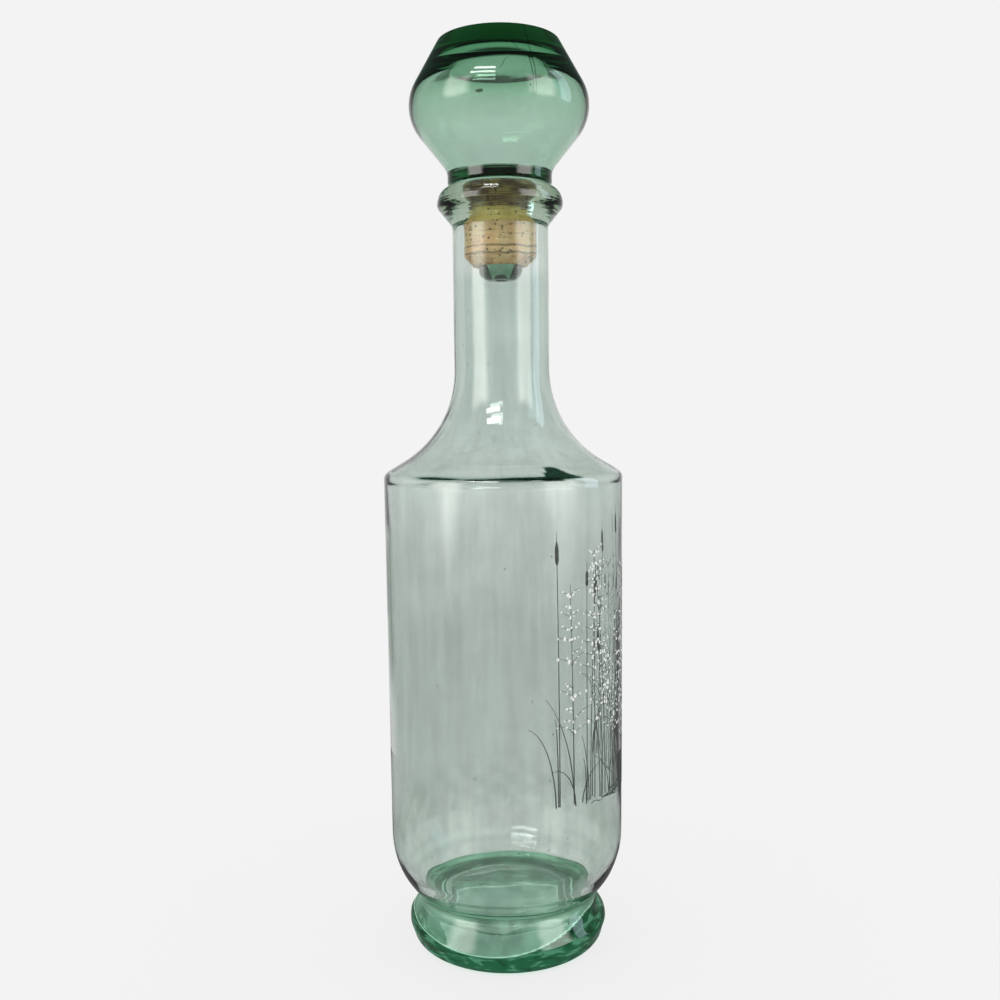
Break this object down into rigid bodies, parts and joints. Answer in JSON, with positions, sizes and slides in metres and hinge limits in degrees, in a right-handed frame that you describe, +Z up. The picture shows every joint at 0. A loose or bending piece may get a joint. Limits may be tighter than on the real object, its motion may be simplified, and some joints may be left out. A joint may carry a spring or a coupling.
{
  "type": "glass decanter with stopper",
  "caption": "Tall round decanter of pale green glass with a waisted foot, a conical shoulder, a slim collared neck and a hollow glass stopper whose peg is sleeved in cork.",
  "frame": {"origin": "centre of the ring that the foot stands on", "axes": "+Z up along the bottle's axis, through the neck and the stopper"},
  "size_m": [0.0852, 0.0852, 0.32],
  "materials": {
    "bottle_glass": "clear pale green, fire polished",
    "stopper_glass": "clear pale green, thick and dark green at the top",
    "cork": "natural cork with dark pores"
  },
  "bodies": {
    "bottle": {"bottle": "bottle_glass"},
    "cork": {"cork_sleeve": "cork"},
    "stopper": {"stopper": "stopper_glass"}
  },
  "joints": [
    {"name": "stopper_lift", "type": "slide", "parent": "bottle", "child": "cork", "axis": [0, 0, 1], "range_m": [0, 0.1]},
    {"name": "stopper_twist", "type": "hinge", "parent": "cork", "child": "stopper", "pos_m": [0, 0, 0.2709], "axis": [0, 0, 1], "continuous": true}
  ]
}
